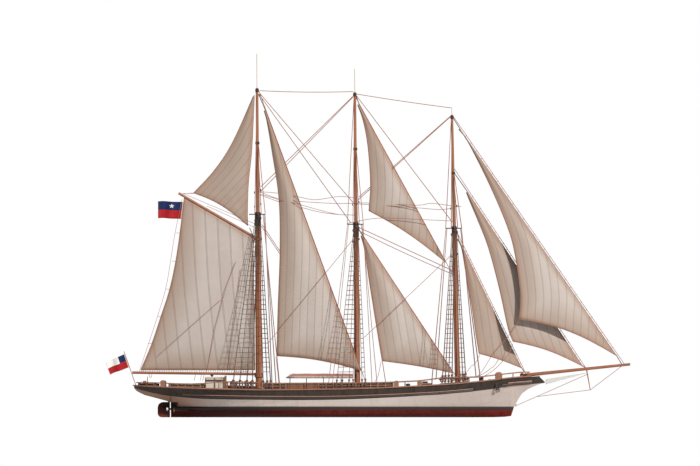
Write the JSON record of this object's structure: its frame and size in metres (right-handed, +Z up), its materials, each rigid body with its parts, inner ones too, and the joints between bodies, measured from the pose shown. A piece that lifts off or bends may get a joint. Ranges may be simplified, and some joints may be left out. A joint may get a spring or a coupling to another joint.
{
  "type": "tall ship, 1:2 scale model",
  "caption": "Tall ship, 1:2 scale model: three-masted fore-and-aft schooner under sail, with gaff spanker, staysails and jibs, turning rudder, wheel, propellers and swinging boom.",
  "frame": {"origin": "on the waterline, amidships, on the centreline", "axes": "+X towards the bow, +Y to port, +Z up"},
  "size_m": [26.2468, 4.12, 18.1647],
  "materials": {
    "hull_paint": "satin",
    "deck_wood": "matte",
    "varnished_wood": "satin",
    "brown_wood": "satin",
    "black_iron": "satin",
    "white_paint": "satin",
    "bronze": "satin",
    "sail_cloth": "matte",
    "red_canvas": "matte",
    "rope": "matte",
    "net_cord": "matte",
    "flag_cloth": "matte"
  },
  "bodies": {
    "ship": {"hull": "hull_paint", "deck": "deck_wood", "rail_port": "brown_wood", "rail_starboard": "brown_wood", "steering_box": "varnished_wood", "deckhouse": "white_paint", "saloon_house": "brown_wood", "main_hatch": "brown_wood", "awning": "red_canvas", "awning_frame": "black_iron", "fife_rail": "varnished_wood", "windlass": "black_iron", "bowsprit_bitts": "varnished_wood", "bowsprit": "varnished_wood", "martingale": "black_iron", "bowsprit_net": "net_cord", "anchor_port": "black_iron", "anchor_starboard": "black_iron", "ensign_staff": "varnished_wood", "ensign": "flag_cloth", "mizzen_mast": "varnished_wood", "mizzen_topmast": "varnished_wood", "mizzen_crosstrees": "black_iron", "mizzen_shrouds_port": "rope", "mizzen_shrouds_starboard": "rope", "main_mast": "varnished_wood", "main_topmast": "varnished_wood", "main_crosstrees": "black_iron", "main_shrouds_port": "rope", "main_shrouds_starboard": "rope", "fore_mast": "varnished_wood", "fore_topmast": "varnished_wood", "fore_crosstrees": "black_iron", "fore_shrouds_port": "rope", "fore_shrouds_starboard": "rope", "mizzen_topmast_stay": "rope", "main_topmast_stay": "rope", "main_stay": "rope", "fore_stay": "rope", "inner_jib_stay": "rope", "outer_jib_stay": "rope", "mizzen_staysail": "sail_cloth", "main_topmast_staysail": "sail_cloth", "main_staysail": "sail_cloth", "fore_staysail": "sail_cloth", "inner_jib": "sail_cloth", "outer_jib": "sail_cloth"},
    "spanker_gear": {"boom": "varnished_wood", "gaff": "varnished_wood", "spanker": "sail_cloth", "gaff_topsail": "sail_cloth", "house_flag": "flag_cloth"},
    "rudder_body": {"rudder": "hull_paint"},
    "helm": {"helm_wheel": "varnished_wood"},
    "port_propeller": {"propeller_port": "bronze"},
    "starboard_propeller": {"propeller_starboard": "bronze"}
  },
  "joints": [
    {"name": "spanker_swing", "type": "hinge", "parent": "ship", "child": "spanker_gear", "pos_m": [-4.00678, 0, 1.69], "axis": [-0.0065, 0, 1], "range_deg": [-40, 40]},
    {"name": "rudder_turn", "type": "hinge", "parent": "ship", "child": "rudder_body", "pos_m": [-8.5, 0, 0], "axis": [0, 0, 1], "range_deg": [-35, 35]},
    {"name": "helm_turn", "type": "hinge", "parent": "ship", "child": "helm", "pos_m": [-9.575, 0, 1.275], "axis": [1, 0, 0], "range_deg": [-350, 350]},
    {"name": "propeller_port_spin", "type": "hinge", "parent": "ship", "child": "port_propeller", "pos_m": [-8.24, 0.425, -0.135], "axis": [1, 0, 0], "continuous": true},
    {"name": "propeller_starboard_spin", "type": "hinge", "parent": "ship", "child": "starboard_propeller", "pos_m": [-8.24, -0.425, -0.135], "axis": [1, 0, 0], "continuous": true}
  ],
  "couplings": [
    {"joint": "helm_turn", "follows": "rudder_turn", "ratio": 10}
  ]
}
